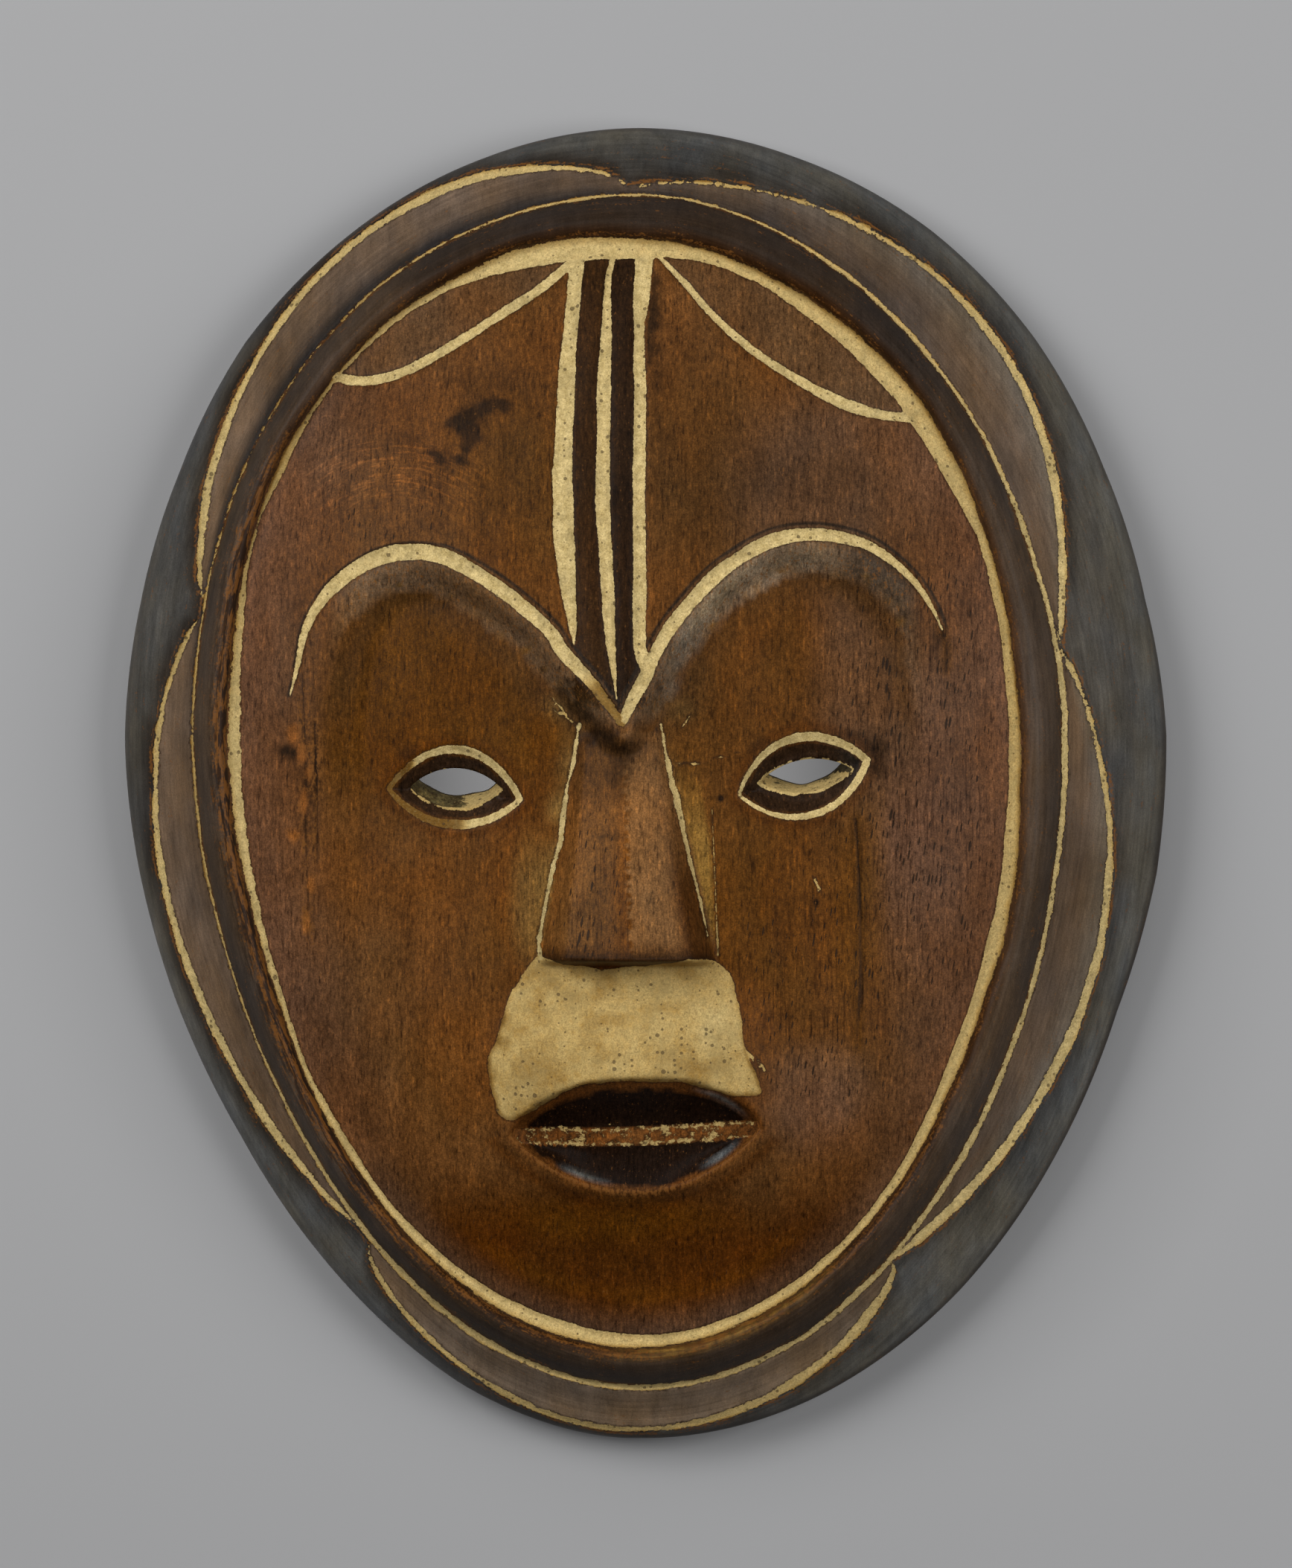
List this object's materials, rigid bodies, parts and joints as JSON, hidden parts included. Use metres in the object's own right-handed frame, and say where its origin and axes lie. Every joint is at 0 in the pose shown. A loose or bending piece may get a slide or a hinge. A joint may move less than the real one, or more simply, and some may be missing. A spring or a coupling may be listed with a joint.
{
  "type": "carved wooden face mask",
  "caption": "Domed oval face mask carved from one block of wood, hollow at the back, with pierced almond eyes, a wedge nose and a recessed mouth.",
  "frame": {"origin": "centre of the mask's outline, on the surface that its back rim lies on", "axes": "+Z out of the face, +Y towards the top of the forehead, +X to the viewer's right"},
  "size_m": [0.2716, 0.3432, 0.0731],
  "materials": {
    "carved_wood": "dark stained and hand rubbed, with pale paint worn into the grooves, satin"
  },
  "bodies": {
    "root": {"mask": "carved_wood"}
  },
  "joints": []
}
